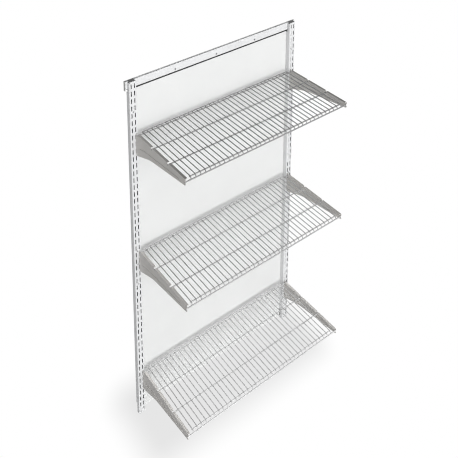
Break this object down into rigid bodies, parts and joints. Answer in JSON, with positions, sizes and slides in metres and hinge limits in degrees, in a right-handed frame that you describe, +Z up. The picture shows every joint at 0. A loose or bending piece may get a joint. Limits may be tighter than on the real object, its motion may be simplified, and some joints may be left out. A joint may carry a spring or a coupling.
{
  "type": "wall-hung wire shelving unit",
  "caption": "Wall-hung double-slot shelving: a hang rail and back panel carry slotted uprights, whose hooked sheet brackets hold lift-off ventilated wire shelves.",
  "frame": {"origin": "bottom centre of the whole unit's bounding box", "axes": "+Z up along the uprights, +Y towards the wall, +X to the right seen from the front"},
  "size_m": [0.8906, 0.3634, 1.6038],
  "materials": {
    "coat": "silver-grey powder coat, satin",
    "plate": "warm grey powder coat, satin",
    "wire": "silver-grey epoxy coat, semi-gloss",
    "panel": "pale smooth sheet, matte",
    "cap": "moulded grey end caps, matte",
    "seal": "dark strip, matte",
    "zinc": "zinc-plated screws"
  },
  "bodies": {
    "frame": {"hang_rail": "coat", "rail_seal": "seal", "rail_cap_left": "cap", "rail_cap_right": "cap", "back_panel": "panel", "upright_left_upper": "coat", "upright_left_lower": "coat", "splice_left": "coat", "upright_right_upper": "coat", "upright_right_lower": "coat", "splice_right": "coat", "upright_left_screw_1": "zinc", "upright_left_screw_2": "zinc", "upright_left_screw_3": "zinc", "upright_left_screw_4": "zinc", "splice_left_screw_1": "zinc", "splice_left_screw_2": "zinc", "upright_right_screw_1": "zinc", "upright_right_screw_2": "zinc", "upright_right_screw_3": "zinc", "upright_right_screw_4": "zinc", "splice_right_screw_1": "zinc", "splice_right_screw_2": "zinc", "rail_screw_1": "zinc", "rail_screw_2": "zinc", "rail_screw_3": "zinc", "rail_screw_4": "zinc", "rail_screw_5": "zinc"},
    "bracket_top_left": {"bracket_top_left": "plate"},
    "bracket_top_right": {"bracket_top_right": "plate"},
    "shelf_top": {"shelf_top": "wire"},
    "bracket_middle_left": {"bracket_middle_left": "plate"},
    "bracket_middle_right": {"bracket_middle_right": "plate"},
    "shelf_middle": {"shelf_middle": "wire"},
    "bracket_bottom_left": {"bracket_bottom_left": "plate"},
    "bracket_bottom_right": {"bracket_bottom_right": "plate"},
    "shelf_bottom": {"shelf_bottom": "wire"}
  },
  "joints": [
    {"name": "lift_top", "type": "slide", "parent": "frame", "child": "bracket_top_left", "axis": [0, 0, 1], "range_m": [0, 0.007]},
    {"name": "lift_top_right", "type": "slide", "parent": "frame", "child": "bracket_top_right", "axis": [0, 0, 1], "range_m": [0, 0.007]},
    {"name": "tip_up_top", "type": "hinge", "parent": "bracket_top_left", "child": "shelf_top", "pos_m": [0, -0.17654, 1.36731], "axis": [1, 0, 0], "range_deg": [0, 90]},
    {"name": "lift_middle", "type": "slide", "parent": "frame", "child": "bracket_middle_left", "axis": [0, 0, 1], "range_m": [0, 0.007]},
    {"name": "lift_middle_right", "type": "slide", "parent": "frame", "child": "bracket_middle_right", "axis": [0, 0, 1], "range_m": [0, 0.007]},
    {"name": "tip_up_middle", "type": "hinge", "parent": "bracket_middle_left", "child": "shelf_middle", "pos_m": [0, -0.17654, 0.82331], "axis": [1, 0, 0], "range_deg": [0, 90]},
    {"name": "lift_bottom", "type": "slide", "parent": "frame", "child": "bracket_bottom_left", "axis": [0, 0, 1], "range_m": [0, 0.007]},
    {"name": "lift_bottom_right", "type": "slide", "parent": "frame", "child": "bracket_bottom_right", "axis": [0, 0, 1], "range_m": [0, 0.007]},
    {"name": "tip_up_bottom", "type": "hinge", "parent": "bracket_bottom_left", "child": "shelf_bottom", "pos_m": [0, -0.17654, 0.21531], "axis": [1, 0, 0], "range_deg": [0, 90]}
  ],
  "couplings": [
    {"joint": "lift_top_right", "follows": "lift_top", "ratio": 1},
    {"joint": "lift_middle_right", "follows": "lift_middle", "ratio": 1},
    {"joint": "lift_bottom_right", "follows": "lift_bottom", "ratio": 1}
  ]
}
